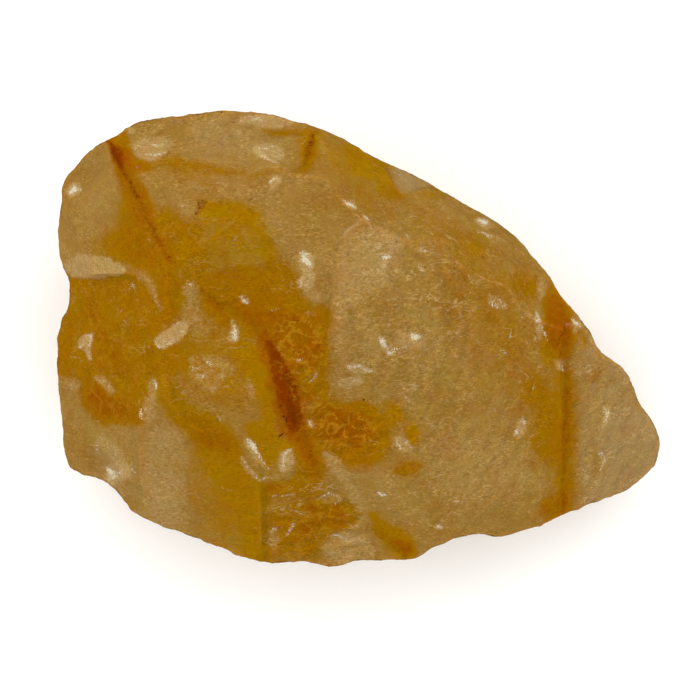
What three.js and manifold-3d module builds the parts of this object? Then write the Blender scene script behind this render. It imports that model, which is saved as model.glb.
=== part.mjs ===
// Golden healer quartz: one rough piece of quartz, broken on every side, lying on its flattest break.
//
// Millimetres, +Z up. The origin is the middle of the flat base it rests on, X runs along its length
// and Z is up through its thickness. The piece is made as the real one was: a block with the outline
// that it has from above, from which each break takes everything outside one face. A flat break is a
// plane, a conchoidal one is a large sphere: hollow where the flake came off, swelling where it stayed.
import * as THREE from 'three';
import { mergeVertices } from 'three/addons/utils/BufferGeometryUtils.js';
import Module from 'manifold-3d';

const HEIGHT = 38; // of the block, before the top breaks
const HEART = new THREE.Vector3(-4, -2, 17); // a point well inside, which every break leaves
const BEYOND = 160; // longer than the stone, for a cutting slab
const AROUND = [[-60, -60, -20], [60, 60, 60]]; // a box around the whole block
const OUTLINE_STEPS = 150;
const FACET_SAG = 0.02; // how far a flat facet may leave the round break it stands for

// The widest outline from above, counter-clockwise from the tip, as [x, y].
const OUTLINE = [
  [42.1, -14.3], [41.2, -11.9], [39.1, -9.1], [38.2, -6.5], [36.3, -3.6], [33.4, -1.8],
  [32.1, 0.9], [30, 3], [27.8, 5.8], [25.9, 9.3], [24, 11.6], [22, 14], [19.3, 16.1],
  [14.4, 18.7], [8, 22.4], [2, 25.2], [-3.5, 28.1], [-9.2, 30.1], [-13.2, 31], [-18, 31.3],
  [-25.7, 30.5], [-30.4, 29.9], [-33.5, 28.1], [-36.8, 26.3], [-39.4, 23.8], [-40.9, 21.5],
  [-41.4, 17.6], [-41.8, 13.6], [-41.3, 10], [-40.2, 8.5], [-40.3, 5], [-41.6, 1.9], [-42, -3.5],
  [-41.4, -9.5], [-41.1, -14.5], [-40, -17.9], [-36.5, -19], [-34.2, -20.3], [-31.7, -23.4],
  [-28.5, -25.4], [-24, -26.9], [-19, -28.8], [-14, -30.8], [-8, -30.9], [-3, -31.4], [-0.8, -30.6],
  [4.5, -30.5], [8, -30], [10.5, -28.4], [16.5, -26.9], [20, -27.5], [25.3, -26], [29, -24],
  [34, -22.4], [38, -20.6], [41.2, -17.6],
];

// Each break face is named, and is the plane through three of its points. With hollow or swell it is
// a sphere of that radius through them. With only, it is broken no further than that box.
const BREAKS = [
  // the upper side
  { name: 'summit', through: [[-26, 10.5, 33], [-20, 23.5, 32], [-4, 15, 34.3]], swell: 150 },
  {
    name: 'broad face', through: [[-4, 8, 34], [27.5, 4, 24], [6.3, -30, 17]], swell: 90,
    only: [[-60, -60, 0], [28.2, 60, 60]],
  },
  { name: 'crown', through: [[-33, 25, 28.5], [-7.5, 24.5, 32], [-20, 31.2, 24]], hollow: 70 },
  { name: 'left lobe', through: [[-34.5, 26, 25.5], [-26, 10.5, 33.2], [-41.5, 14, 18.5]], swell: 100 },
  {
    name: 'cheek', through: [[-28.5, 4, 31], [-41, 7, 16.5], [-41.8, -3, 15.5]], hollow: 100,
    only: [[-60, -60, 0], [-20, 8.9, 60]],
  },
  { name: 'lower cheek', through: [[-29.5, -8, 29], [-30, -24, 19.5], [-41.5, -8, 15]], swell: 120 },
  { name: 'smooth slope', through: [[-29.5, -8, 29], [-30, -24, 19.5], [-14, -24, 21.5]], swell: 150 },
  {
    name: 'rippled scar', through: [[-5.8, -17.8, 24.8], [6.3, -30, 17], [-13.2, -30.5, 16.5]],
    hollow: 60, only: [[-13.4, -60, 0], [60, -10, 60]],
  },
  { name: 'golden scar', through: [[-3.6, 3, 32.7], [-20, 12.5, 33.2], [-20, -6.5, 30.7]], hollow: 45 },
  { name: 'feather scar', through: [[-8.6, -9, 28.5], [5, -3.5, 29.1], [1.5, -17.5, 25]], hollow: 60 },
  { name: 'foot scar', through: [[-26, -6, 29.8], [-19.5, -12.5, 28], [-27, -24.5, 20.3]], hollow: 60 },
  { name: 'shoulder', through: [[-6, 28.5, 23], [24, 11.6, 18], [6, 16.5, 32]], swell: 150 },
  {
    name: 'tip', through: [[28, 5, 23.4], [28, -25, 11], [42, -14, 9.8]], swell: 120,
    only: [[28, -60, 0], [60, 60, 60]],
  },
  // the underside
  { name: 'under left', through: [[-42, 4, 12], [-41.5, -12, 8], [-32, -3, 0]] },
  { name: 'under lobe', through: [[-41, 17, 12.5], [-36, 27, 14], [-27, 18, 0]], hollow: 70 },
  { name: 'under crown', through: [[-30, 30, 18], [-8, 30, 16], [-18, 20, 0]] },
  { name: 'under shoulder', through: [[-5, 28.5, 14.5], [20, 15.4, 10], [4, 16, 0]], hollow: 90 },
  { name: 'under right', through: [[25, 10, 12], [33, -2, 9], [21, 0, 0]] },
  { name: 'under upper tip', through: [[34, -3, 8], [42, -13, 5.5], [28, -9, 0]] },
  { name: 'under lower tip', through: [[42, -15.5, 5], [33, -22.5, 3.5], [25, -15.5, 0]], hollow: 60 },
  { name: 'under right foot', through: [[27, -25.3, 5], [10, -28.5, 8.5], [17, -19, 0]] },
  { name: 'under middle foot', through: [[5, -30.4, 10], [-12, -30.7, 11], [-4, -22, 0]], hollow: 45 },
  { name: 'under left foot', through: [[-15, -30.5, 11], [-30, -24.5, 11], [-20, -18, 0]] },
  { name: 'under corner', through: [[-33, -21, 8], [-40.5, -17, 6], [-28, -14, 0]] },
];

// Flakes knocked off the rim. Each is a hollow of this radius and depth at a point on an edge, facing
// away from the middle of the stone and up (1) or down (-1).
const CHIPS = [
  { at: [-25, 30.5, 24.5], up: 1, radius: 20, deep: 0.9 },
  { at: [-12, 30.6, 25.5], up: 1, radius: 9, deep: 1.3 },
  { at: [-34, 27.6, 26.2], up: 1, radius: 14, deep: 1.2 },
  { at: [-40.7, 21, 19.9], up: 1, radius: 16, deep: 0.9 },
  { at: [-41.6, 12, 18.6], up: 1, radius: 8, deep: 0.8 },
  { at: [-41.5, 1.5, 16.2], up: 1, radius: 24, deep: 0.9 },
  { at: [-41.3, -10, 13.8], up: 1, radius: 18, deep: 0.9 },
  { at: [-36.5, -18.9, 14.6], up: 1, radius: 9, deep: 1.2 },
  { at: [-31.8, -23.2, 17.7], up: 1, radius: 16, deep: 1.3 },
  { at: [-22, -27.5, 18.7], up: 1, radius: 24, deep: 0.9 },
  { at: [-9, -30.8, 16], up: 1, radius: 12, deep: 0.6 },
  { at: [8, -30, 17], up: 1, radius: 10, deep: 1.1 },
  { at: [16, -27.1, 16], up: 1, radius: 26, deep: 1 },
  { at: [26, -25.8, 12.6], up: 1, radius: 10, deep: 0.9 },
  { at: [36, -21.6, 9.7], up: 1, radius: 16, deep: 0.6 },
  { at: [39.5, -9.5, 13.4], up: 1, radius: 12, deep: 1.1 },
  { at: [31.5, 1.5, 21], up: 1, radius: 12, deep: 1.2 },
  { at: [25, 8.5, 22.5], up: 1, radius: 15, deep: 1.2 },
  { at: [16.5, 13.5, 27.5], up: 1, radius: 26, deep: 1.1 },
  { at: [6.5, 19, 28.5], up: 1, radius: 20, deep: 1.7 },
  { at: [-5.5, 27.5, 26], up: 1, radius: 16, deep: 1.2 },
  { at: [-41.6, -2, 9.9], up: -1, radius: 18, deep: 1 },
  { at: [-16, -30, 11.8], up: -1, radius: 20, deep: 1.1 },
  { at: [17, -26.8, 7.4], up: -1, radius: 24, deep: 1 },
  { at: [27, 7, 10.7], up: -1, radius: 14, deep: 1.2 },
  { at: [10, 21, 13], up: -1, radius: 22, deep: 1.1 },
  { at: [-28, 30, 17], up: -1, radius: 20, deep: 1.1 },
];

const wasm = await Module();
wasm.setup();

// A closed three.js geometry as a manifold-3d solid.
function solidOf(geometry) {
  const bare = geometry.clone();
  bare.deleteAttribute('normal');
  bare.deleteAttribute('uv');
  const merged = mergeVertices(bare, 1e-4);
  return new wasm.Manifold(new wasm.Mesh({
    numProp: 3,
    vertProperties: new Float32Array(merged.attributes.position.array),
    triVerts: new Uint32Array(merged.index.array),
  }));
}

// A manifold-3d solid as a three.js geometry with flat facets.
function geometryOf(solid) {
  const mesh = solid.getMesh();
  const geometry = new THREE.BufferGeometry();
  geometry.setAttribute('position', new THREE.BufferAttribute(mesh.vertProperties, 3));
  geometry.setIndex(new THREE.BufferAttribute(mesh.triVerts, 1));
  const faceted = geometry.toNonIndexed();
  faceted.computeVertexNormals();
  return faceted;
}

// A ball, with facets as large as FACET_SAG lets them be.
function ball(radius, centre) {
  const edge = Math.sqrt(8 * radius * FACET_SAG);
  const geometry = new THREE.IcosahedronGeometry(radius, Math.ceil(1.05 * radius / edge));
  return solidOf(geometry.translate(...centre));
}

// A box from its lowest corner to its highest.
function box(low, high) {
  const size = high.map((end, i) => end - low[i]);
  const middle = high.map((end, i) => (end + low[i]) / 2);
  return solidOf(new THREE.BoxGeometry(...size).translate(...middle));
}

// The block that the breaks shape: the outline, from the base up.
function block() {
  const points = OUTLINE.map(([x, y]) => new THREE.Vector3(x, y, 0));
  const round = new THREE.CatmullRomCurve3(points, true, 'centripetal').getSpacedPoints(OUTLINE_STEPS);
  const shape = new THREE.Shape(round.slice(0, -1).map((p) => new THREE.Vector2(p.x, p.y)));
  return solidOf(new THREE.ExtrudeGeometry(shape, { depth: HEIGHT, bevelEnabled: false }));
}

// The unit normal of the plane through three points, away from the heart of the stone.
function outward([a, b, c]) {
  const out = new THREE.Triangle(a, b, c).getNormal(new THREE.Vector3());
  return HEART.clone().sub(a).dot(out) > 0 ? out.negate() : out;
}

// The middle of the circle through three points.
function circleCentre([a, b, c]) {
  const ab = b.clone().sub(a);
  const ac = c.clone().sub(a);
  const cross = ab.clone().cross(ac);
  const toB = cross.clone().cross(ab).multiplyScalar(ac.lengthSq());
  const toC = ac.clone().cross(cross).multiplyScalar(ab.lengthSq());
  return toB.add(toC).divideScalar(2 * cross.lengthSq()).add(a);
}

// All that lies outside the plane through three points.
function flatBreak(points) {
  const slab = new THREE.BoxGeometry(BEYOND, BEYOND, BEYOND).translate(0, 0, BEYOND / 2);
  const turn = new THREE.Quaternion().setFromUnitVectors(new THREE.Vector3(0, 0, 1), outward(points));
  return solidOf(slab.applyQuaternion(turn).translate(...points[0]));
}

// The ball whose surface holds three points, lying outside the stone (1) or on the stone's side (-1).
function touchingBall(points, radius, side) {
  const middle = circleCentre(points);
  const lift = Math.sqrt(radius ** 2 - middle.distanceToSquared(points[0]));
  return ball(radius, middle.addScaledVector(outward(points), side * lift));
}

// All that one break took away.
function broken({ through, hollow, swell, only }) {
  const points = through.map((p) => new THREE.Vector3(...p));
  let away = flatBreak(points);
  if (hollow) away = touchingBall(points, hollow, 1);
  if (swell) away = box(...AROUND).subtract(touchingBall(points, swell, -1));
  return only ? away.intersect(box(...only)) : away;
}

// One flake off an edge, as a solid to take away.
function chip({ at, up, radius, deep }) {
  const edge = new THREE.Vector3(...at);
  const out = edge.clone().sub(HEART).setZ(0).normalize().setZ(up).normalize();
  return ball(radius, edge.addScaledVector(out, radius - deep));
}

// The finished stone, moved so that the middle of its length and width is over the origin.
function stone() {
  const away = [...BREAKS.map(broken), ...CHIPS.map(chip)];
  const geometry = geometryOf(away.reduce((solid, piece) => solid.subtract(piece), block()));
  geometry.computeBoundingBox();
  const middle = geometry.boundingBox.getCenter(new THREE.Vector3());
  return geometry.translate(-middle.x, -middle.y, 0);
}

const quartz = new THREE.Mesh(
  stone(),
  new THREE.MeshStandardMaterial({ color: 0xb48a3c, roughness: 0.35, metalness: 0 }),
);
quartz.name = 'quartz_stone';

const group = new THREE.Group();
group.add(quartz);
export default group;
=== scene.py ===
# %% [markdown]
# # A raw piece of golden healer quartz
# Golden healer quartz is clear to milky quartz that iron oxide has stained yellow, golden and
# rust-brown. A raw piece has been broken out of the vein: every face is a fracture, waxy and
# rippled, with small chips along its edges. Light goes some millimetres into it, so its colours
# look soft and lie at different depths. The solid model already has the outline, the breaks and the
# level base. This file gives it its skin: the fine relief of the breaks, the stains and veins, and
# the milky, translucent body.

# %% Load the solid model
import math

import bpy
import numpy as np
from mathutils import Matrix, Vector
from mathutils.bvhtree import BVHTree


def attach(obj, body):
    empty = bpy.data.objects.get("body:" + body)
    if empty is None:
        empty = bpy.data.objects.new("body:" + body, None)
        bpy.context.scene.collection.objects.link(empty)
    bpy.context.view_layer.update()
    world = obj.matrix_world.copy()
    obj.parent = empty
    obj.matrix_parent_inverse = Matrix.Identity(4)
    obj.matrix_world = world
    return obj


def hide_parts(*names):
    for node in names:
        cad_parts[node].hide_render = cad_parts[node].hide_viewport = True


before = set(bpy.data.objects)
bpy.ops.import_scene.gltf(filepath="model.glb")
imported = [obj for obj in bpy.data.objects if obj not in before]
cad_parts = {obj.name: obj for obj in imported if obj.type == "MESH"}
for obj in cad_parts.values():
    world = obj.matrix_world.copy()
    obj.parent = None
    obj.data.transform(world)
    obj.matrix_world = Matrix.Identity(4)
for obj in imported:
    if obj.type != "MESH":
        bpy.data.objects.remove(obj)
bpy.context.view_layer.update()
MM = 0.001

# %% [markdown]
# ## The table and the light
# The stone lies on a white sheet that runs on in all directions. A flat plane is enough for it.
# Four big soft panels stand around it like the walls of a light tent, and the room itself gives
# very little light. Glassy quartz would mirror such panels as a grey haze over its golden faces. A
# polarising filter would take that haze away, so here the panels, the sheet and the room give light
# but are not mirrored. Two narrow strip lights, low down, are mirrored, and they give the wet
# glints along the breaks.

# %% Helpers for colours and nodes
def linear(hex_colour):
    """An sRGB hex colour as linear red, green, blue and alpha."""
    parts = [int(hex_colour[i:i + 2], 16) / 255 for i in (1, 3, 5)]
    return [p / 12.92 if p <= 0.04045 else ((p + 0.055) / 1.055) ** 2.4 for p in parts] + [1.0]


def node(tree, kind, inputs=None, **settings):
    """Add a shader node, "Math" for example, with its settings.

    Each input is set to a value, or linked to a socket or to a node's first output.
    """
    made = tree.nodes.new("ShaderNode" + kind)
    for key, value in settings.items():
        setattr(made, key, value)
    for key, value in (inputs or {}).items():
        if isinstance(value, bpy.types.Node):
            value = next(socket for socket in value.outputs if socket.enabled)
        if isinstance(value, bpy.types.NodeSocket):
            tree.links.new(value, made.inputs[key])
        else:
            made.inputs[key].default_value = value
    return made


def empty_material(name):
    """A material with an empty node tree and its output node."""
    material = bpy.data.materials.new(name)
    material.use_nodes = True
    material.node_tree.nodes.clear()
    return material, material.node_tree, node(material.node_tree, "OutputMaterial")


# %% The white sheet
SHEET_SIZE = 3.0
bpy.ops.mesh.primitive_plane_add(size=SHEET_SIZE, location=(0, 0, 0))
sheet = bpy.context.object
sheet.name = "white_sheet"
# Matte paper gives the eye an even ground, with nothing on it but the stone's soft shadow.
paper, tree, output = empty_material("matte white paper")
surface = node(tree, "BsdfPrincipled", {"Base Color": linear("#FCFCFC"), "Roughness": 0.9})
tree.links.new(surface.outputs[0], output.inputs["Surface"])
sheet.data.materials.append(paper)
sheet.visible_glossy = False
print("sheet:", SHEET_SIZE, "m across")

# %% The light tent
LAMP_DISTANCE = 0.75
LAMP_COLOUR = "#FFFDF9"
ROOM_LIGHT = 0.06
# Each lamp has a bearing in degrees and its share of the watts. The height is an angle too.
PANELS = {
    "size": (1.1, 0.75), "height": 36, "watts": 5.05, "mirrored": False,
    "lamps": {"panel_left": (150, 1.15), "panel_back": (60, 1.1),
              "panel_right": (-30, 0.95), "panel_front": (-120, 0.9)},
}
STRIPS = {
    "size": (0.5, 0.04), "height": 28, "watts": 0.4, "mirrored": True,
    "lamps": {"strip_left": (135, 1.0), "strip_right": (20, 1.0)},
}
for kind in (PANELS, STRIPS):
    for name, (bearing, share) in kind["lamps"].items():
        light = bpy.data.lights.new(name, "AREA")
        light.shape = "RECTANGLE"
        light.size, light.size_y = kind["size"]
        light.energy = kind["watts"] * share
        light.color = linear(LAMP_COLOUR)[:3]
        lamp = bpy.data.objects.new(name, light)
        bpy.context.scene.collection.objects.link(lamp)
        side, up = math.radians(bearing), math.radians(kind["height"])
        level = math.cos(up)
        towards = Vector((math.cos(side) * level, math.sin(side) * level, math.sin(up)))
        lamp.location = towards * LAMP_DISTANCE
        lamp.rotation_euler = towards.to_track_quat("Z", "Y").to_euler()
        lamp.visible_glossy = kind["mirrored"]

world = bpy.data.worlds.new("dim_room")
world.use_nodes = True
background = world.node_tree.nodes["Background"].inputs
background["Color"].default_value = linear("#FFFFFF")
background["Strength"].default_value = ROOM_LIGHT
world.cycles_visibility.glossy = False
bpy.context.scene.world = world
bpy.context.scene.view_settings.view_transform = "Standard"
print("lamps:", len(PANELS["lamps"]), "panels and", len(STRIPS["lamps"]), "strips")

# %% [markdown]
# ## The camera
# The stone is seen from straight above. A long lens from 0.9 m keeps its upright sides out of sight
# and its faces in proportion.

# %% The camera
CAMERA_DISTANCE = 0.9
VIEW_CENTRE = (-0.00132, -0.00139)
VIEW_WIDTH = 0.0972
GIRDLE_HEIGHT = 0.016  # where the stone is widest
SENSOR_MM = 36.0
camera_data = bpy.data.cameras.new("camera")
camera_data.sensor_width = SENSOR_MM
camera_data.lens = SENSOR_MM * CAMERA_DISTANCE / VIEW_WIDTH
camera = bpy.data.objects.new("camera", camera_data)
camera.location = (*VIEW_CENTRE, GIRDLE_HEIGHT + CAMERA_DISTANCE)
bpy.context.scene.collection.objects.link(camera)
bpy.context.scene.camera = camera
print("lens:", round(camera_data.lens), "mm")

# %% [markdown]
# ## The body of the stone
# The solid model is loose flat facets, so a copy of it is merged first. A voxel remesh then gives
# one even skin of small faces, fine enough to hold ripples about a millimetre apart. Sculpting by
# hand would also work, but a remesh and displacements give the same stone each time.

# %% Copy, merge and remesh
VOXEL = 0.41 * MM
SAME_PLACE = 0.001 * MM


def apply_modifier(piece, kind, **settings):
    """Add one modifier to a piece, set it up and apply it."""
    modifier = piece.modifiers.new(kind.lower(), kind)
    for key, value in settings.items():
        setattr(modifier, key, value)
    bpy.context.view_layer.objects.active = piece
    bpy.ops.object.modifier_apply(modifier=modifier.name)


bpy.ops.object.select_all(action="DESELECT")
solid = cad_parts["quartz_stone"]
stone = solid.copy()
stone.data = solid.data.copy()
stone.name = "golden_quartz"
stone.hide_render = False
stone.parent = None
bpy.context.scene.collection.objects.link(stone)
stone.select_set(True)
bpy.context.view_layer.objects.active = stone
bpy.ops.object.mode_set(mode="EDIT")
bpy.ops.mesh.select_all(action="SELECT")
bpy.ops.mesh.remove_doubles(threshold=SAME_PLACE)
bpy.ops.object.mode_set(mode="OBJECT")
apply_modifier(stone, "REMESH", mode="VOXEL", voxel_size=VOXEL, use_smooth_shade=True)
apply_modifier(stone, "SMOOTH", factor=0.5, iterations=2)
print("skin:", len(stone.data.polygons), "faces")

# %% Read and write the skin as arrays
def skin_arrays(piece):
    """The places of a piece's points in millimetres, and their normals, as arrays."""
    mesh = piece.data
    places = np.empty(len(mesh.vertices) * 3, dtype=np.float32)
    normals = np.empty(len(mesh.vertices) * 3, dtype=np.float32)
    mesh.vertices.foreach_get("co", places)
    mesh.vertex_normals.foreach_get("vector", normals)
    return places.reshape(-1, 3) / MM, normals.reshape(-1, 3)


def move_skin(piece, places):
    """Put a piece's points at these places in millimetres."""
    piece.data.vertices.foreach_set("co", (places * MM).astype(np.float32).ravel())
    piece.data.update()

# %% [markdown]
# ## Noise, lines and patches for painting
# The stains and cracks are placed one by one on the broad upper face: lines and closed loops in
# millimetres, seen from above. A little noise bends them, so that no edge is straight or round.

# %% Noise on arrays
LATTICE = 32  # cells before the noise repeats
MIDDLE_CELL = 500  # the cell at the middle of the stone


def noise_at(places, size_mm, seed):
    """Smooth random values from -1 to 1 whose lumps are size_mm across."""
    grid = np.random.default_rng(seed).uniform(-1, 1, (LATTICE,) * 3)
    at = places / size_mm + MIDDLE_CELL
    low = np.floor(at).astype(int)
    part = at - low
    part = part * part * (3 - 2 * part)
    total = np.zeros(len(places))
    for corner in np.ndindex(2, 2, 2):
        weight = np.ones(len(places))
        for axis in range(3):
            weight *= part[:, axis] if corner[axis] else 1 - part[:, axis]
        cell = (low + corner) % LATTICE
        total += weight * grid[cell[:, 0], cell[:, 1], cell[:, 2]]
    return total


def wobble(places, size_mm, shift_mm, seed):
    """A random sideways shift in mm for each place, from this seed and the next."""
    return np.stack([noise_at(places, size_mm, seed + i) * shift_mm for i in (0, 1)], axis=1)


# %% Lines and loops
def rounded(loop):
    """A closed loop with its corners cut off, twice over."""
    loop = np.array(loop, dtype=float)
    for _ in range(2):
        after = np.roll(loop, -1, axis=0)
        cuts = [0.75 * loop + 0.25 * after, 0.25 * loop + 0.75 * after]
        loop = np.stack(cuts, axis=1).reshape(-1, 2)
    return loop


def line_distance(at, line):
    """How far each place is from a line, its side (left is positive) and how far along, 0 to 1."""
    line = np.array(line, dtype=float)
    best = np.full(len(at), np.inf)
    side = np.ones(len(at))
    along = np.zeros(len(at))
    for i, (start, end) in enumerate(zip(line[:-1], line[1:])):
        way = end - start
        from_start = at - start
        share = np.clip(from_start @ way / (way @ way), 0, 1)
        gap = from_start - share[:, None] * way
        distance = np.hypot(gap[:, 0], gap[:, 1])
        closer = distance < best
        best[closer] = distance[closer]
        side[closer] = np.sign(way[0] * from_start[:, 1] - way[1] * from_start[:, 0])[closer]
        along[closer] = ((i + share) / (len(line) - 1))[closer]
    return best, side, along


def depth_inside(at, loop):
    """How far each place is inside a closed loop, negative outside."""
    loop = rounded(loop)
    distance = line_distance(at, np.vstack([loop, loop[:1]]))[0]
    crossings = np.zeros(len(at), dtype=int)
    for start, end in zip(loop, np.roll(loop, -1, axis=0)):
        spans = (start[1] > at[:, 1]) != (end[1] > at[:, 1])
        rise = (end[1] - start[1]) or 1.0  # a level edge spans no place
        meets = start[0] + (at[:, 1] - start[1]) / rise * (end[0] - start[0])
        crossings += spans & (at[:, 0] < meets)
    return np.where(crossings % 2 == 1, distance, -distance)


def ease(value, low, high):
    """0 below low, 1 above high, smooth between."""
    share = np.clip((value - low) / (high - low), 0, 1)
    return share * share * (3 - 2 * share)


def union(at, patches, spread=1.0):
    """How strongly a union of patches (strength, edge in mm, loop) covers each place, 0 to 1.

    Every edge is made wider by the spread.
    """
    clear = np.ones(len(at))
    for strength, edge, loop in patches:
        reach = spread * edge / 2
        clear *= 1 - strength * ease(depth_inside(at, loop), -reach, reach)
    return 1 - clear


def keep(piece, name, values):
    """Keep one value for each point of the skin as an attribute of the piece."""
    attribute = piece.data.attributes.new(name, "FLOAT", "POINT")
    attribute.data.foreach_set("value", values.astype(np.float32))

# %% [markdown]
# ## The relief of the breaks
# A quartz break is never flat. It swells and dips over a centimetre. Where it ran fast it is hackly
# and rippled over two or three millimetres, and where it ran slowly it is smooth. Everywhere it has
# a fine tooth under a millimetre. Each scale is one Displace modifier with its own noise, as one
# would add in a sculpting program, and a vertex group says where the break is rippled.

# %% Where the break is rippled
RIPPLED = [
    (0.9, 4, [(-4, 8), (-2, 15), (4, 18), (12, 15), (17, 9), (16, 0), (14, -7), (6, -8), (-3, -5)]),
    (0.5, 6, [(10, 14), (22, 11), (26, 4), (26, -12), (24, -24), (8, -26), (2, -16), (8, -6)]),
    (0.9, 2, [(-13, -19), (-6, -17), (2, -26), (0, -33), (-14, -33)]),
    (0.9, 2, [(-13, 2), (-7, 4), (-4, 0), (-5, -8), (1, -10), (4, -13), (1, -17), (-6, -15),
        (-9, -8)]),
    (0.7, 2, [(30, 6), (36, 2), (46, -10), (44, -24), (30, -27), (29, -10)]),
    (0.5, 4, [(-35, 30), (-28, 24), (-12, 23), (-5, 28), (-12, 34), (-30, 34)]),
    (0.4, 4, [(-26, 2), (-16, 2), (-14, -8), (-22, -12), (-28, -4)]),
    (0.5, 3, [(-43, 9), (-30, 9), (-27, 2), (-28, -11), (-38, -11), (-43, -4)]),
    (0.3, 3, [(-32, 18), (-22, 16), (-10, 19), (-6, 6), (-14, 5), (-24, 4), (-28, 9)]),
]
RIPPLED_BELOW = 0.7  # the sides and the underside are hackly all over
STEEP, GENTLE = 0, 0.5  # how far a normal points up there, and on the upper face
points, normals = skin_arrays(stone)
below = 1 - ease(normals[:, 2], STEEP, GENTLE)
rippled = np.maximum(union(points[:, :2], RIPPLED), RIPPLED_BELOW * below)
keep(stone, "rippled", rippled)
group = stone.vertex_groups.new(name="rippled")
for index, weight in enumerate(rippled):
    group.add([index], weight, "REPLACE")
print("rippled:", round(float(rippled.mean()) * 100), "% of the skin")


# %% Swells, hackles and tooth
def relief(piece, name, kind, scale_mm, height_mm, where, **settings):
    """Displace the skin, or its part in a vertex group, by a noise of this size and height."""
    noise = bpy.data.textures.new(name, kind)
    for key, value in {"noise_scale": scale_mm * MM, **settings}.items():
        setattr(noise, key, value)
    apply_modifier(piece, "DISPLACE", texture=noise, texture_coords="LOCAL",
                   strength=height_mm * MM, mid_level=0.5, vertex_group=where)
    print(name, "about", height_mm, "mm high")


relief(stone, "swells", "CLOUDS", 9, 0.9, "", noise_depth=1)
relief(stone, "hackles", "MUSGRAVE", 3.4, 0.3, "rippled",
       musgrave_type="RIDGED_MULTIFRACTAL", octaves=2)
relief(stone, "tooth", "CLOUDS", 0.9, 0.1, "", noise_depth=2)
points, normals = skin_arrays(stone)
print("points:", len(points), "triangles:", 2 * len(stone.data.polygons))

# %% [markdown]
# ## Cracks and ledges on the upper face
# Old cracks run right through the stone. Rust has filled them, so all that is left where they meet
# the surface is a shallow groove. Thin flakes have left ledges with crisp edges. They are pressed
# into the skin by moving its points along their normals, which is what a sculpting brush does.

# %% Press in cracks and ledges
# Each crack: depth and width of its groove in mm, and its line.
CRACKS = {
    "left crack": (0.15, 0.6, [(-34.5, 27.5), (-33, 23.8), (-31.3, 20.7), (-29, 16), (-27.2, 12.5),
        (-25.8, 10.3)]),
    "middle crack": (0.3, 0.7, [(-20.8, 6), (-18, 4), (-13.5, 0.8), (-12.3, -2), (-9.6, -6.5),
        (-8.3, -10), (-7.2, -14.5), (-5.8, -17.8), (-2.1, -22.2), (2.5, -27), (6.5, -30.5)]),
    "right crack": (0.1, 0.8, [(28.8, 5), (28.1, 0), (28.2, -4.2), (28.7, -8.5), (28.2, -14.5),
        (28.3, -20), (28.1, -25)]),
    "foot crack": (0.3, 0.5, [(-13.4, -18), (-13.2, -24), (-13.4, -31)]),
    "crown crack": (0.25, 0.5, [(-6.2, 28.6), (-6.6, 26.5), (-7.6, 24.2), (-9.3, 23)]),
}
# Each ledge: its height and how far back it slopes down, in mm, and its line.
LEDGES = {
    "broad face": (0.45, 5, [(2, 17.5), (-1.5, 15), (-3.3, 11.5), (-3.6, 6), (-4.2, 1),
        (-5.3, -5)]),
    "flake one": (0.3, 2, [(-30.8, 9.8), (-29.2, 8.2), (-28.2, 6.3), (-27.7, 4)]),
    "flake two": (0.25, 1.5, [(-32.2, 9.2), (-30.4, 7.6), (-29.2, 5.6), (-28.7, 3.5)]),
    "corner patch": (0.4, 3, [(10.5, 21), (8, 20.5), (6.3, 19.6), (4.7, 21.3), (3.2, 24.6)]),
    "lower flake": (0.35, 2.5, [(-15.2, -15.4), (-14, -17.2), (-12.4, -18.4)]),
    "left foot": (0.4, 3, [(-30, -9), (-30.3, -14), (-30.2, -19), (-29.8, -24.5)]),
    "bulge": (0.5, 4, [(-20.5, -12.6), (-23.8, -10.6), (-25.8, -8), (-26.6, -4.5)]),
}
LEDGE_STEP = 0.25  # mm, half the width of the step itself
LEDGE_ENDS = 0.12  # share of a ledge's length in which each end runs out
SIDE, FACE = 0.1, 0.4  # how far a normal points up on the sides and on the upper face
LOW, HIGH = 6, 11  # mm above the table
faces_up = ease(normals[:, 2], SIDE, FACE) * ease(points[:, 2], LOW, HIGH)
bent = points[:, :2] + wobble(points, 2.2, 0.25, 1)
push = np.zeros(len(points))
for depth, width, line in CRACKS.values():
    distance = line_distance(bent, line)[0]
    push -= depth * np.exp(-(distance / width) ** 2)
for height, reach, line in LEDGES.values():
    distance, side, along = line_distance(bent, line)
    ends = ease(along, 0, LEDGE_ENDS) * (1 - ease(along, 1 - LEDGE_ENDS, 1))
    step = ease(side * distance, -LEDGE_STEP, LEDGE_STEP)
    push += height * ends * np.exp(-distance / reach) * step
points += normals * (push * faces_up)[:, None]
points[:, 2] = np.maximum(points[:, 2], 0)  # what lay below the table is worn level
move_skin(stone, points)
print("cracks:", len(CRACKS), "ledges:", len(LEDGES))

# %% [markdown]
# ## How deep each place lies under the upper face
# What is painted on the upper face belongs to zones that go on through the stone. Down the sides
# and on the underside those zones have shifted and turned, so the paint is looked up a little
# further round and further in, the deeper a place lies.

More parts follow.
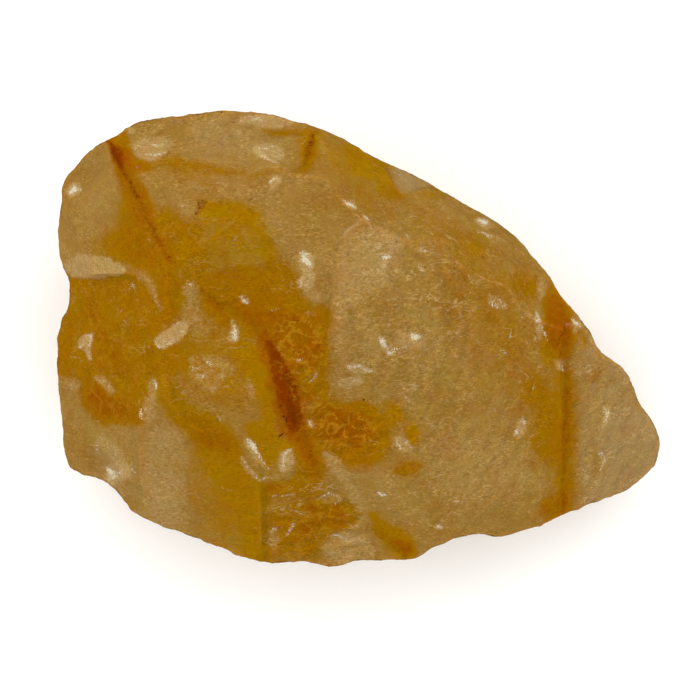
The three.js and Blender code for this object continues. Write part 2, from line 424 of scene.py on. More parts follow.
# %% Look up from each point
ABOVE = 0.05  # metres, well above the stone
SKIN_MM = 0.5  # less than this counts as lying on the upper face
TURN = 1.6  # degrees for each mm of depth
SHRINK = 0.017  # for each mm of depth
WANDER, WANDER_DEEPER = 0.5, 0.12  # mm at the upper face, and more for each mm of depth
points = skin_arrays(stone)[0]
bpy.context.view_layer.update()
faces = BVHTree.FromObject(stone, bpy.context.evaluated_depsgraph_get())
depth = np.zeros(len(points))
for i, (x, y, z) in enumerate(points * MM):
    hit = faces.ray_cast(Vector((x, y, ABOVE)), Vector((0, 0, -1)))[0]
    if hit is not None:
        depth[i] = (hit.z - z) / MM
depth = np.clip(depth - SKIN_MM, 0, None)
turn = np.radians(TURN * depth)
x, y = points[:, 0], points[:, 1]
at = np.stack([x * np.cos(turn) - y * np.sin(turn), x * np.sin(turn) + y * np.cos(turn)], axis=1)
at = at * (1 - SHRINK * depth)[:, None]
at += wobble(points, 5, WANDER + WANDER_DEEPER * depth, 3)
at += wobble(points, 1.5, 0.3, 5)
print("deepest point:", round(float(depth.max()), 1), "mm under the upper face")

# %% [markdown]
# ## The stains
# Iron oxide has soaked in from cracks: yellow and gold far from them, orange-brown nearer, rust in
# them. Each kind of stain is an attribute of the skin from 0 to 1. It is the union of listed
# patches, each with a strength and the width of its edge, because some stains fade out and others
# stop at a hidden crack. A whole kind of stain can have its edges spread as well: the finish then
# frays them into feathers.

# %% Gold
def stain(piece, name, spread, patches):
    """Paint the union of patches (strength, edge in mm, loop), edges spread, into an attribute."""
    amount = union(at, patches, spread)
    keep(piece, name, amount)
    print(name, "patches:", len(patches), "covers", round(float(amount.mean()) * 100), "%")


stain(stone, "gold", 2.6, [
    (1, 1.5, [(-32.8, 18.6), (-32.4, 14.8), (-34.4, 12.2), (-32.6, 10.4), (-29.4, 9.4),
        (-27.4, 6.6), (-27.2, 3.4), (-28.2, 1.2), (-25.6, 3), (-24.5, 5.2), (-24.7, 9.2),
        (-22.2, 9.6), (-22.2, 13.4), (-21.4, 14.8), (-22.4, 16.2), (-24.2, 15.8), (-25.8, 17.4),
        (-28, 16.6), (-29.8, 19.8), (-31.2, 20.8)]),
    (1, 1.2, [(-22.2, 8.6), (-20.8, 6.8), (-19, 9.8), (-14, 9.8), (-11.4, 10.4), (-9.4, 9.4),
        (-8.6, 7.6), (-8.2, 5.6), (-5.8, 4.6), (-4.4, 5.4), (-4, 3), (-4.8, 0), (-4.3, -3),
        (-4.6, -6), (-3.8, -8.6), (-8.5, -8), (-12.5, 0), (-14, 1.5), (-15.6, 0.4), (-16.6, 3),
        (-18.2, 1.8), (-20.4, 3.8), (-21.4, 6)]),
    (1, 1.2, [(-5.4, -9), (-3.2, -8.6), (0.6, -8.4), (2.8, -9.6), (3.6, -12), (4.2, -14.6),
        (3, -16.6), (-0.6, -17.6), (-3.2, -16.2), (-5.6, -14.4), (-7.4, -13.6), (-7.6, -11)]),
    (1, 0.9, [(-44, 9), (-40, 8.8), (-36, 8.5), (-32.6, 9), (-30.2, 8.6), (-28, 5), (-27.8, 1),
        (-27, -1.6), (-28.8, -4.8), (-29.2, -8), (-30, -11.8), (-33.6, -11.4), (-36, -12),
        (-38.6, -7.8), (-39, -5.2), (-44, -4.4)]),
    (0.8, 1.5, [(-26.6, -9.6), (-23.4, -10.4), (-20, -12), (-17.2, -13.4), (-16.4, -15.4),
        (-18, -16.4), (-20.6, -15), (-24, -13)]),
    (0.9, 0.8, [(-13, -19.4), (-9, -19.2), (-8.8, -17.4), (-6.6, -17.8), (-4.4, -20), (-6, -21.4),
        (-9, -21), (-11, -22), (-13, -22)]),
    (0.9, 1, [(-9.4, -23), (-6, -22.2), (-4, -23), (-1, -22.4), (0, -24.4), (-2, -26.4),
        (-4, -26.6), (-6, -25.4), (-6.4, -27.6), (-9, -28.8), (-10, -27.4), (-8.4, -25.6)]),
    (0.75, 3, [(-13, -22), (-8, -22), (-3, -24), (-5, -29), (-10, -31), (-13, -29)]),
    (0.85, 1, [(-9.8, -12), (-7, -12), (-5.8, -15), (-4.4, -18), (-6, -19), (-8.4, -17.6),
        (-9.4, -15)]),
    (0.7, 1, [(4.2, -17.6), (6, -16.9), (9, -16.6), (8.8, -18.3), (6.6, -18.6), (5, -18.6)]),
    (0.6, 1.5, [(-35, 15), (-32.4, 15), (-32.6, 11.4), (-35, 11.4), (-37, 12.6)]),
    (0.85, 0.8, [(-33.8, 24.4), (-32.2, 24), (-29.6, 19.8), (-28.6, 17), (-30.8, 17.2),
        (-32.8, 21)]),
    (0.8, 1.5, [(-25, 12), (-20.6, 12), (-20.6, 8.6), (-22.6, 8.4), (-25, 8.6)]),
    (0.55, 3, [(22.6, -5), (27.6, -5), (27.6, -16), (26, -19), (23.2, -15)]),
    (0.6, 2, [(-30, -0.6), (-22.4, -0.8), (-22.6, -3.6), (-25, -5.2), (-29.6, -5)]),
    (0.3, 4, [(-26, 6), (-22, 8), (-17, 2), (-14, -1), (-13.4, -9), (-18, -12), (-26, -8),
        (-27, 0)]),
    (0.3, 3, [(-2, 22), (2, 21), (8, 19), (16, 15), (14, 11), (6, 16), (-2, 18)]),
    (0.8, 1.5, [(27.6, -4.4), (29.2, -4.6), (29.6, -7.4), (30.2, -10.4), (30.6, -13.4), (29.8, -16),
        (29.6, -19.6), (29.4, -21.6), (29.6, -23.4), (27.8, -25.6), (25.6, -24.6), (25.4, -22.8),
        (27.2, -21.4), (27.6, -18.4), (26.4, -16.4), (25, -15.4), (25.6, -13), (25.2, -10.2),
        (27, -9.6), (27.8, -7.6)]),
    (1, 0.8, [(25.6, 7.6), (27.4, 6.8), (29.4, 4.2), (29.8, 0.6), (29, -2.2), (26.8, -4),
        (25.2, -2.4), (25, 1.4), (25.6, 4.6)]),
    (0.6, 1.5, [(21.6, 9), (24, 8.6), (24.6, 7), (23, 5.8), (21.8, 7)]),
    (0.7, 1.5, [(22.8, -5.4), (25.4, -6), (24.8, -8.4), (23.4, -8.2)]),
    (0.4, 6, [(11, 14), (18, 13), (24, 10), (25, 4), (25, -6), (20, -8), (16, -3), (12, 4)]),
    (0.6, 0.8, [(30.2, 1.4), (31.6, 1), (31.4, -0.8), (30.4, -0.8)]),
    (0.5, 1, [(32, -4), (33.6, -4.2), (33.2, -5.6), (32.2, -5.4)]),
    (0.45, 1, [(33, -16), (34, -17), (34.2, -19), (33.2, -19.4)]),
    (0.9, 0.8, [(-34.8, 27), (-33.4, 28.6), (-31.4, 28.6), (-31.2, 25), (-28.4, 24.2), (-28.8, 23),
        (-31.4, 23), (-32.8, 21.6), (-33.4, 23.4)]),
    (0.5, 0.8, [(-28.6, 24.3), (-25, 24.8), (-21, 24.1), (-17.5, 23.4), (-13, 23), (-9.8, 23.6),
        (-13, 22.4), (-18, 22.7), (-22, 23), (-26, 23.2)]),
    (0.35, 2.5, [(-28.6, 23.9), (-24, 24.4), (-19, 23.4), (-19.6, 21), (-23, 20.6), (-26, 22)]),
    (0.8, 0.6, [(-13.3, 29), (-11.4, 28.7), (-8.2, 28.9), (-9, 28.2), (-11.6, 27.9)]),
    (0.9, 1, [(-7.6, 29), (-5.7, 29), (-5.5, 27), (-6.2, 25), (-6.7, 23.4), (-8.2, 22.4),
        (-8.9, 23.4), (-7.6, 24.6), (-8.2, 26.6)]),
])

# %% Yellow
stain(stone, "yellow", 3.0, [
    (1, 1.2, [(-22, 18.8), (-17.5, 18.8), (-14.8, 18), (-13, 15.6), (-12, 12), (-10.8, 9.8),
        (-12.2, 9.6), (-13.6, 13.4), (-14.8, 16), (-16.4, 16.9), (-19.5, 17), (-21.4, 15.8)]),
    (0.5, 2, [(-21.6, 15.6), (-19, 17), (-15.6, 16.8), (-13.6, 14), (-12.6, 10.4), (-16, 9.4),
        (-20, 9.4), (-22, 11)]),
    (1, 1.2, [(-28.6, -1.4), (-26.2, -2.8), (-25.4, -6.4), (-23.2, -9.2), (-19.8, -11.4),
        (-17.4, -13.2), (-16.4, -14.6), (-16.2, -16.8), (-14, -18.6), (-12.4, -19.4),
        (-12.8, -22.6), (-13.4, -25), (-12.8, -28.6), (-12.6, -31.6), (-15.2, -31.6),
        (-15.6, -25.4), (-17, -23.4), (-18, -20.8), (-20, -18.4), (-21.2, -16), (-22.4, -13.6),
        (-25.2, -10.8), (-27.8, -7.8)]),
    (0.55, 3.5, [(-23.2, -15), (-18, -17), (-14, -24), (-14, -32), (-18, -30), (-21, -28),
        (-22.6, -24), (-23, -19)]),
    (0.35, 3, [(-26, 3), (-20, 4), (-14.6, 0), (-13.6, -8), (-17, -12), (-23, -8)]),
    (1, 1, [(-16.8, 0.4), (-14.4, -0.6), (-12.8, -3), (-12.2, -8), (-12, -12), (-10, -14),
        (-9, -14.4), (-11, -15.4), (-12.4, -18), (-13.6, -16), (-14.6, -13.8), (-15.4, -12.8),
        (-14.6, -11.4), (-13, -11.6), (-13.8, -8), (-14.6, -5), (-16, -4), (-16.8, -2)]),
    (0.8, 0.8, [(3.2, -8.6), (5.2, -8.4), (6, -10.4), (5.4, -12), (3.8, -12)]),
    (0.9, 0.8, [(6.4, -11.8), (7.8, -11.8), (8.2, -13.6), (7, -14.6), (6.2, -13.4)]),
    (1, 1, [(1.2, -24.4), (2.4, -24.2), (3.6, -25.6), (6, -26.2), (7.4, -27.8), (8, -29.8),
        (6.6, -31), (4.4, -30), (2.6, -26.8)]),
    (1, 1, [(-2.4, 27), (0.4, 26.4), (2.6, 25.2), (3.9, 23), (4.9, 20.7), (6.6, 19.6), (4.4, 19.7),
        (2.6, 20), (2.8, 22), (0.8, 22.4), (-0.8, 23), (-1.6, 24.6)]),
    (0.5, 2.5, [(-5.4, 28.6), (-2.4, 27), (-1.4, 23.6), (1, 22), (2, 19.6), (1.2, 18), (-0.4, 20),
        (-3.4, 22.4), (-6, 25)]),
    (0.7, 1.5, [(14.6, 13.6), (16.6, 14), (17.4, 12.4), (16, 11.2), (14.6, 12)]),
    (0.6, 0.8, [(8, 20.9), (11.2, 20.9), (12.4, 19.4), (9, 19.9)]),
])

# %% Amber
stain(stone, "amber", 2.0, [
    (0.75, 1.2, [(-14.5, 4.4), (-12, 4), (-9.5, 3.6), (-6.8, 4), (-5.4, 2), (-5.2, -1),
        (-6.2, -3.6), (-7.8, -4.6), (-9, -3), (-11, -0.5), (-13.4, 1.2), (-16.4, 2.6), (-17.4, 4.6),
        (-19, 4.4), (-17, 6)]),
    (0.25, 2, [(-20, 9), (-18, 9.6), (-14, 8), (-10, 7), (-9, 4.6), (-12, 3.6), (-18, 5)]),
    (0.5, 1, [(-7.6, -0.6), (-5.4, -0.4), (-5.4, -4), (-7.8, -4.8), (-8.6, -3)]),
    (0.6, 1.2, [(-8, -6), (-6, -7), (-4.6, -9.4), (-6.4, -10.6), (-8, -9)]),
    (0.9, 1.5, [(-5.4, -9.4), (-3.2, -9), (0.4, -9.4), (2, -11), (2.6, -13.6), (0, -14.8),
        (-3, -14.6), (-6.6, -13.4), (-7.4, -11.4)]),
    (0.5, 1.5, [(-38, 5.4), (-36.2, 5.8), (-35.4, 3.4), (-33.4, 3.2), (-35.4, 1.8), (-37.6, 2.4)]),
    (0.5, 1.5, [(-36.4, 1.6), (-34.2, 2), (-33, -1), (-31, -3.4), (-30.6, -7), (-32.4, -5.4),
        (-34.6, -4.4), (-36.2, -2)]),
    (0.8, 1.5, [(-38.4, -6.2), (-35.8, -6.2), (-34.4, -7.6), (-31.4, -8.2), (-30.6, -11),
        (-33.4, -11), (-35.8, -11.2), (-37.4, -9)]),
    (0.35, 2, [(-33.6, 7.6), (-30, 6.4), (-28.8, 3), (-31, 3.4), (-33.4, 5.6)]),
    (0.4, 1.5, [(-27.2, 9.6), (-25, 9), (-24.6, 5.6), (-26.2, 3), (-28, 1.4), (-27, 4.6)]),
    (0.4, 2, [(-32.6, 18), (-30, 17), (-27, 12), (-26.4, 9), (-30, 9.6), (-33.8, 11.8),
        (-32.4, 14)]),
    (0.3, 1, [(-31.4, 21.6), (-30, 21.4), (-28, 16.6), (-25.6, 11), (-26.4, 10.6), (-29.2, 14.6),
        (-31.8, 19)]),
    (0.6, 1.5, [(-24.6, -11), (-21, -12.4), (-17.2, -13.6), (-16.6, -15.8), (-18.6, -16),
        (-21.4, -14)]),
    (0.7, 0.8, [(-20.9, 6), (-18.6, 4.4), (-17.6, 2.4), (-19.4, 3.2), (-20.9, 4.6)]),
    (1, 0.8, [(-14.2, 1.4), (-14.6, -1), (-13.4, -2.8), (-12.8, -4.6), (-12.9, -6.4), (-12.4, -8),
        (-11.9, -10.8), (-11.4, -12.8), (-9.4, -13.8), (-8, -15.6), (-6.6, -17.9), (-5.6, -17.7),
        (-6.5, -15.4), (-7.1, -13), (-7.3, -10.4), (-7.6, -8), (-8, -6.2), (-9, -4.2), (-10, -2.4),
        (-11, -0.6), (-12.4, 1.2)]),
    (0.4, 0.9, [(-34.4, 25), (-32, 24), (-30.6, 21.8), (-28.2, 17.4), (-26, 12.8), (-24.6, 9.6),
        (-26.8, 10.6), (-29.8, 15), (-32.2, 19.4), (-33.6, 22)]),
    (0.6, 1, [(-12.8, -19.6), (-10, -19.4), (-10, -21), (-12.6, -21.6)]),
    (0.6, 1.2, [(-8.6, -23.2), (-5.4, -22.6), (-1.4, -23), (-1.8, -25.8), (-4.6, -25.6),
        (-7, -27.6), (-9.2, -28), (-8, -25.4)]),
    (0.8, 0.8, [(2.6, -26.2), (4, -26.8), (5.8, -27.6), (7.6, -28), (7.2, -30), (5, -29.4)]),
    (0.7, 0.8, [(4.6, -17.6), (6.4, -17.2), (8.6, -17), (8.4, -18), (6, -18.2)]),
    (1, 0.8, [(26.2, 6.2), (28, 6), (29.2, 3.4), (29.5, 0.6), (28.8, -1.9), (27.2, -2.2),
        (25.4, -0.6), (25.4, 2.4), (26, 4.4)]),
    (0.6, 0.8, [(28, -2), (29.3, -2.4), (29, -5), (29.3, -8), (29.9, -10.6), (29.9, -13), (29, -15),
        (29, -18), (28.6, -20.2), (27.8, -20), (28, -16), (27.6, -12.6), (27.7, -10), (28.1, -7)]),
    (0.8, 0.8, [(28, -21.6), (29.3, -21.8), (28.7, -23.6), (27.6, -24.8), (27.6, -23)]),
    (0.7, 0.8, [(25.6, -22.8), (26.8, -22.8), (26.6, -24.2), (25.6, -24)]),
    (1, 0.7, [(-34.8, 27), (-32.8, 27.2), (-31.2, 25.4), (-31.4, 24.2), (-29, 24), (-29, 23.3),
        (-31.8, 23.3), (-32.8, 21.8), (-33.2, 23.4), (-34.2, 24.8)]),
    (0.9, 0.5, [(-6.7, 28.8), (-6, 28.6), (-6, 26.8), (-6.9, 25), (-7.4, 25.8), (-7.1, 27.4)]),
    (0.6, 0.5, [(-12.4, 28.5), (-11, 28.5), (-11.2, 28), (-12, 28)]),
    (0.5, 0.8, [(30.4, 1), (31.4, 0.8), (31.3, -0.7), (30.5, -0.7)]),
])

# %% Milky and grey places
stain(stone, "milk", 1.0, [
    (0.75, 0.5, [(-41.4, 10.4), (-40.2, 11.8), (-38, 12.2), (-35.6, 11.6), (-33.4, 10.6),
        (-32, 9.6), (-32.6, 8.8), (-36, 8.5), (-39.8, 8.7), (-41, 9.2)]),
    (0.65, 0.8, [(-30.6, 24.9), (-28.4, 24.4), (-26.2, 25), (-25, 26.8), (-26.4, 28.4), (-29.4, 28),
        (-31, 26.4)]),
    (0.7, 0.8, [(-32, 28.8), (-30.8, 28.2), (-30.2, 29.2), (-31.6, 29.8)]),
    (0.85, 0.8, [(-17, 29.8), (-14.6, 31.2), (-10.4, 31), (-8.6, 29.8), (-10, 29), (-13, 29.2),
        (-15, 29.4)]),
    (0.6, 0.8, [(-17.4, 29.2), (-16, 29.2), (-15.6, 28), (-17, 27.8)]),
    (0.35, 2, [(-24.6, 30.4), (-19, 31), (-18, 27.6), (-21, 27), (-24, 28.4)]),
    (0.85, 0.8, [(-14.8, 26), (-13.6, 27.2), (-10.8, 26.8), (-10, 25.6), (-11.4, 24.1),
        (-13.4, 25)]),
    (0.8, 0.8, [(-12.4, 21.8), (-11.4, 22.4), (-10.2, 22), (-11.6, 20), (-12.4, 20.6)]),
    (0.95, 0.8, [(-41.2, 20.2), (-40.2, 21.7), (-38.6, 21.5), (-38.4, 20.2), (-40.2, 19.4)]),
    (0.35, 3, [(-38, 25.5), (-36, 25.5), (-35.4, 23), (-37, 22)]),
    (0.95, 0.6, [(-27.9, -0.8), (-27.6, 0.2), (-25.8, 1.2), (-24.8, 2.4), (-23.2, 2.4),
        (-23.2, 0.8), (-25, -1), (-26.6, -1.8)]),
    (0.5, 0.6, [(-24.6, 7.2), (-23.4, 7.8), (-22.4, 7.2), (-23, 6.2), (-24.4, 6)]),
    (0.4, 1.2, [(-24.6, 6.4), (-22.2, 6.4), (-21.2, 3.4), (-20, 1), (-21, -0.6), (-23, 0.6),
        (-24.4, 3)]),
    (0.45, 0.6, [(-31.8, 9.5), (-29.4, 8.8), (-27.6, 6.6), (-27, 3.6), (-27.8, 3.4), (-28.6, 6),
        (-30.4, 8)]),
    (0.95, 0.5, [(-8.5, 11.8), (-6.4, 12), (-6, 9.8), (-7.4, 9.2), (-8.5, 9.8)]),
    (0.85, 0.7, [(-8.8, 8.6), (-7, 9.6), (-6, 9), (-6.4, 7), (-8.6, 7)]),
    (0.5, 1, [(-8, 7), (-5.4, 7.4), (-4.4, 5.6), (-6, 5.2), (-7.8, 5.8)]),
    (0.5, 0.8, [(-8, 3.8), (-6.6, 4.2), (-5.6, 3.6), (-7, 3.2)]),
    (0.85, 0.6, [(-38.6, 0.6), (-37, 1.4), (-36.2, 1.2), (-36.8, -0.6), (-36.6, -2.8),
        (-37.4, -2.8), (-37.6, -1.2), (-39.2, -1.2)]),
    (0.6, 0.8, [(-37.2, -5.2), (-35, -4.6), (-33.2, -7.2), (-34, -7.6), (-36, -6.2)]),
    (0.55, 1, [(-41.4, -4.2), (-38.4, -5.2), (-38.8, -6.6), (-41, -6.6)]),
    (0.45, 1.2, [(-23.4, -2.2), (-21.6, -2), (-17.4, -2.2), (-17, -5), (-19, -5.4), (-19.4, -8),
        (-22, -6.6), (-23.4, -4.6)]),
    (0.5, 1, [(-15.6, -5.4), (-14.4, -6), (-14.2, -8.4), (-15.4, -8.4)]),
    (0.7, 0.5, [(-18, 2.4), (-17.2, 3.2), (-16.6, 0), (-17.8, -0.6)]),
    (0.7, 0.5, [(-16.8, 6.2), (-15.6, 6.3), (-15, 5.4), (-16.2, 5.2)]),
    (0.55, 0.8, [(-29.2, -5.4), (-28.2, -5), (-27.8, -8), (-28, -11), (-29.8, -11.4), (-30.4, -9),
        (-29.6, -8)]),
    (0.4, 2, [(-30, -12), (-26, -10), (-24, -14), (-23, -20), (-23.6, -27), (-29, -26),
        (-31.4, -22)]),
    (0.25, 2, [(-28.6, -20), (-24.8, -21), (-25, -26), (-29, -25)]),
    (0.95, 1, [(-35, -18.6), (-34.8, -17.2), (-32.4, -16.6), (-31.6, -18.8), (-32.6, -19.8),
        (-34, -20.6), (-35.4, -19.8)]),
    (0.5, 1.5, [(-36.8, -12.6), (-34.4, -13.4), (-31.8, -16), (-32.4, -18), (-35, -17),
        (-36.8, -15)]),
    (0.8, 0.3, [(-16.2, -13.2), (-15.2, -13), (-14.2, -15.4), (-12.6, -17.8), (-13.6, -17.2),
        (-15.4, -15.4)]),
    (0.6, 0.5, [(-16.6, -16), (-15.8, -16.2), (-13.4, -18.6), (-14.2, -19), (-16, -17.6)]),
    (0.8, 0.7, [(-11.8, -17.4), (-10.6, -14.8), (-9, -14.6), (-8.8, -16.8), (-10.2, -18.2)]),
    (0.7, 0.6, [(-7.4, -10.6), (-6.4, -10.8), (-6, -12.4), (-6.8, -12.2)]),
    (0.55, 0.5, [(-6.8, -6), (-6, -6), (-5.2, -4.2), (-5.6, -3.8)]),
    (0.5, 0.8, [(-5.8, -15.4), (-4.4, -15), (-2, -17.2), (-1, -18.6), (0.6, -21), (0.8, -24.4),
        (-0.6, -23.4), (-1.8, -20.4), (-4, -18.2)]),
    (0.35, 0.7, [(-5, -21.4), (-3.4, -20.6), (-1.6, -21.6), (-2.6, -22.8), (-5, -22.6)]),
    (0.4, 0.6, [(-12.4, -22), (-9.6, -20.9), (-8, -21), (-10.6, -23.2), (-12.2, -23.6)]),
    (0.4, 0.8, [(-12.8, -25.6), (-11.4, -24.8), (-10.6, -27.6), (-12.6, -30.4)]),
    (0.4, 0.8, [(-10, -26.4), (-9, -24.6), (-8.2, -25), (-9.6, -27.4)]),
    (0.55, 1.2, [(-5, -27.6), (-1, -26.4), (1.6, -27.4), (2.4, -30.6), (-3, -32), (-6, -29.6)]),
    (0.3, 1, [(-10.8, -29.4), (-8, -29.4), (-5.8, -31.4), (-10.4, -31.4)]),
    (0.8, 0.6, [(-2.4, -3), (-1, -2.8), (0.2, -3.6), (2, -3.8), (0.6, -4.5), (-1, -4.4)]),
    (0.7, 0.8, [(-2.6, -5), (-0.6, -4.6), (0.8, -5.6), (-1.6, -6.6), (-3.4, -6.4)]),
    (0.9, 0.5, [(2.4, 0.6), (3.4, 0.6), (4.6, -1), (4.4, -2.2), (3.2, -1)]),
    (0.5, 1, [(5.2, 1.4), (7, 1.6), (9.4, 0.4), (9, -1.4), (6.4, -1.2), (5, 0)]),
    (0.6, 4, [(-3.6, 12), (-1, 15.6), (3, 16), (7, 13), (5, 8), (1, 5), (-2, 3), (-3.8, 4)]),
    (0.35, 2, [(-3.6, 4), (-1.4, 4), (2, 2), (4, -2), (1, -5), (-3.4, -4)]),
    (0.35, 5, [(2, 5), (10, 6), (14, 0), (13, -5), (6, -6), (2, -3)]),
    (0.3, 3, [(-22, 22), (-12, 22), (-8, 17), (-10, 13), (-14, 18), (-20, 19)]),
    (0.4, 2, [(12.6, -7), (15.6, -6.8), (17, -8.6), (13, -9)]),
    (0.75, 0.8, [(15.8, 16.8), (17.8, 16.4), (18.8, 15), (17, 15), (16, 15.6)]),
    (0.5, 0.8, [(16, 15), (19, 14), (20.4, 13), (18, 13.6)]),
    (0.6, 0.7, [(7.2, 12.8), (9.6, 12.2), (9.8, 11.2), (7.8, 11.8)]),
    (0.6, 0.7, [(7.6, 10.2), (8.4, 10), (9.2, 8.6), (8.6, 8.4)]),
    (0.6, 0.7, [(-2.6, 18.6), (-0.8, 19.4), (0, 18), (-1.4, 17.4)]),
    (0.7, 0.5, [(0.2, 17), (1, 17.2), (1.4, 16.2), (0.6, 16.2)]),
    (0.7, 0.5, [(2.6, 11.8), (4.4, 11.8), (4.4, 11), (2.8, 11)]),
    (0.65, 0.7, [(5.6, 14.6), (6.6, 14.6), (7, 13.4), (6.2, 13.4)]),
    (0.7, 0.6, [(23.8, 4.6), (24.8, 4), (25.2, 0.4), (24.6, -1), (24, 1.8)]),
    (0.65, 0.8, [(24.6, 9.6), (26, 7.4), (25, 5), (24.4, 6.6)]),
    (0.75, 0.7, [(21.4, -11), (22.8, -10.8), (23.2, -13.2), (21.6, -13.8)]),
    (0.5, 1, [(22.2, -18.4), (23.4, -18.2), (23.4, -20), (22.2, -20.2)]),
    (0.6, 1, [(16.8, 6.4), (18.8, 6.4), (20.4, 4.4), (18.4, 4)]),
    (0.35, 4, [(9, -13), (17, -11), (23, -14), (22, -22), (12, -24), (7, -19)]),
    (0.6, 0.8, [(10.4, -25), (11.8, -25), (12, -26.2), (10.6, -26.2)]),
    (0.45, 0.8, [(2.4, -20.6), (3.8, -20.6), (3.8, -21.8), (2.6, -22)]),
    (0.7, 0.8, [(4.4, -13.4), (6, -13.2), (7.6, -15.4), (6, -16), (4.6, -15)]),
    (0.7, 0.8, [(29.4, 3.6), (31, 2.2), (30.2, 0.6), (29.6, 0.8)]),
    (0.55, 0.8, [(27.2, -2.6), (28.4, -2.4), (28.2, -4.2), (27, -4)]),
    (0.7, 0.8, [(33.4, -9.2), (34.6, -9), (34.8, -12.2), (33.4, -12.4)]),
    (0.6, 0.8, [(33.4, -15), (34.4, -16), (34.6, -18.6), (33.6, -18)]),
    (0.6, 0.8, [(31, -18.6), (32.4, -18.6), (32.2, -20), (31, -20)]),
])
stain(stone, "grey", 1.6, [
    (0.95, 1, [(33.6, -9.6), (39, -9.4), (43, -11), (45, -16), (42, -22), (32, -24), (32, -21),
        (33.6, -18)]),
    (0.6, 1.5, [(33, -3), (38, -2), (41, -9.6), (33.4, -9.8)]),
    (0.45, 2, [(29.8, 3), (33.5, 1.4), (34, -9), (33.4, -20), (30.6, -24), (30.6, -15), (30, -8)]),
    (0.95, 0.6, [(3.2, 25), (5.5, 25), (11, 21.6), (8, 20.8), (6.3, 20.2), (5, 20.8), (4, 23)]),
    (0.35, 3, [(-31, -14), (-27, -12), (-24, -14), (-23.2, -20), (-24.5, -28), (-31, -25)]),
    (0.4, 2, [(-36, -13), (-33, -13), (-31.2, -18), (-32, -24), (-38, -20)]),
    (0.4, 3, [(-24, 31), (-10, 31), (-9, 25), (-16, 24), (-24, 26)]),
])

# %% [markdown]
# ## Veins, flecks and specks
# The cracks that come to the surface are lined with rust, darkest where they are widest, and are
# thin enough to need crisp edges. So an attribute holds how far inside the vein each place is, and
# the finish cuts the edge from it. Small bright flecks are open fractures that throw light straight
# back, and their near-white is a painted glint. Dark specks are grains of iron oxide. Both are
# painted in the same way as the veins.

# %% Veins
def strokes(piece, name, profiles):
    """Paint lines as how many mm each place is inside them.

    The lines are listed under their half widths in mm, which run along them from end to end.
    """
    ink = np.full(len(at), -1.0)
    for half_widths, lines in profiles.items():
        for line in lines:
            distance, _, along = line_distance(at, line)
            half = np.interp(along, np.linspace(0, 1, len(half_widths)), half_widths)
            ink = np.maximum(ink, half - distance)
    keep(piece, name, np.clip(ink, -1, 1))
    print(name, "strokes:", sum(len(lines) for lines in profiles.values()))


strokes(stone, "vein", {
    (0.3, 0.7, 0.4): [[(-34.7, 27), (-33.8, 25.2), (-33, 23.8)]],
    (0.45, 0.25, 0.35, 0.1, 0.3, 0.1, 0.3, 0.15): [[(-33, 23.8), (-31.3, 20.7), (-30, 18),
        (-28, 14.2), (-26.5, 11.5), (-25.4, 9.7)]],
    (0.1, 0.4, 0.25, 0.05): [[(-6.1, 28.8), (-6.5, 27.6), (-6.9, 26), (-7.4, 24.3), (-9.3, 22.9)]],
    (0.25, 0.35, 0.2): [[(-20.9, 18.9), (-21.9, 18.4), (-22, 17.6), (-22.3, 16.9)]],
    (0.1, 0.3, 0.2, 0.1): [[(-22, 7.6), (-21.7, 6.7), (-20.5, 5.8), (-19.8, 4.8), (-18.4, 4)]],
    (0.1, 0.25, 0.3, 0.35, 0.3): [[(-12.4, 0.3), (-11.5, -1.3), (-10.6, -2.9), (-9.7, -5),
        (-8.9, -6.8)]],
    (0.4, 0.8, 0.3): [[(-10, -8.5), (-9.6, -10.6), (-8.8, -12.4)]],
    (0.15, 0, 0.2, 0, 0.1): [[(-7.6, -12.4), (-7.2, -14.9), (-6.4, -16.8), (-5.8, -17.8)]],
    (0, 0.1, 0.15): [[(1.2, -25.5), (3.8, -28.1), (6.6, -30.6)]],
    (0.05, 0.25, 0.1, 0.2, 0.05): [[(28.6, 4), (28.2, 0.5), (27.6, -0.8), (28, -2.4),
        (28.2, -4.4)]],
    (0.1, 0, 0.15, 0, 0.2, 0.05, 0.15, 0, 0.1, 0): [[(28.2, -4.2), (28.8, -6.4), (28.6, -8.3),
        (29, -10), (28.5, -11.5), (28.4, -13.4), (28.1, -14.3), (28.4, -17), (28.2, -20),
        (28.3, -24.6)]],
})
stain(stone, "rust", 1.2, [
    (1, 0.7, [(-13.2, 0.4), (-12.6, -2.2), (-12.1, -5.6), (-11.7, -8.4), (-10.9, -11.2),
        (-10, -12.6), (-8.6, -12.6), (-8, -11.2), (-8.4, -8.6), (-9.2, -6), (-10.3, -3.3),
        (-11.6, -0.8), (-12.6, 0.6)]),
    (0.9, 0.8, [(-34.9, 27), (-33.6, 26.8), (-32.4, 25.8), (-32.2, 24.4), (-32.8, 23),
        (-33.6, 24)]),
    (0.2, 1.2, [(26.4, 4.6), (28.4, 4.4), (29, 1), (28.2, -1.6), (26.8, -0.6), (26.2, 2)]),
    (0.3, 1.5, [(-5, -10), (-2.5, -9.8), (0.4, -11), (0.6, -13.2), (-1.5, -14), (-5.4, -13)]),
    (0.25, 1.2, [(-37.6, -7), (-36, -7), (-34.4, -9), (-31.4, -8.6), (-33.4, -10.8), (-36, -10)]),
    (0.35, 1, [(4.4, -27.6), (6.4, -28.6), (7, -30.4), (5, -29.2)]),
])
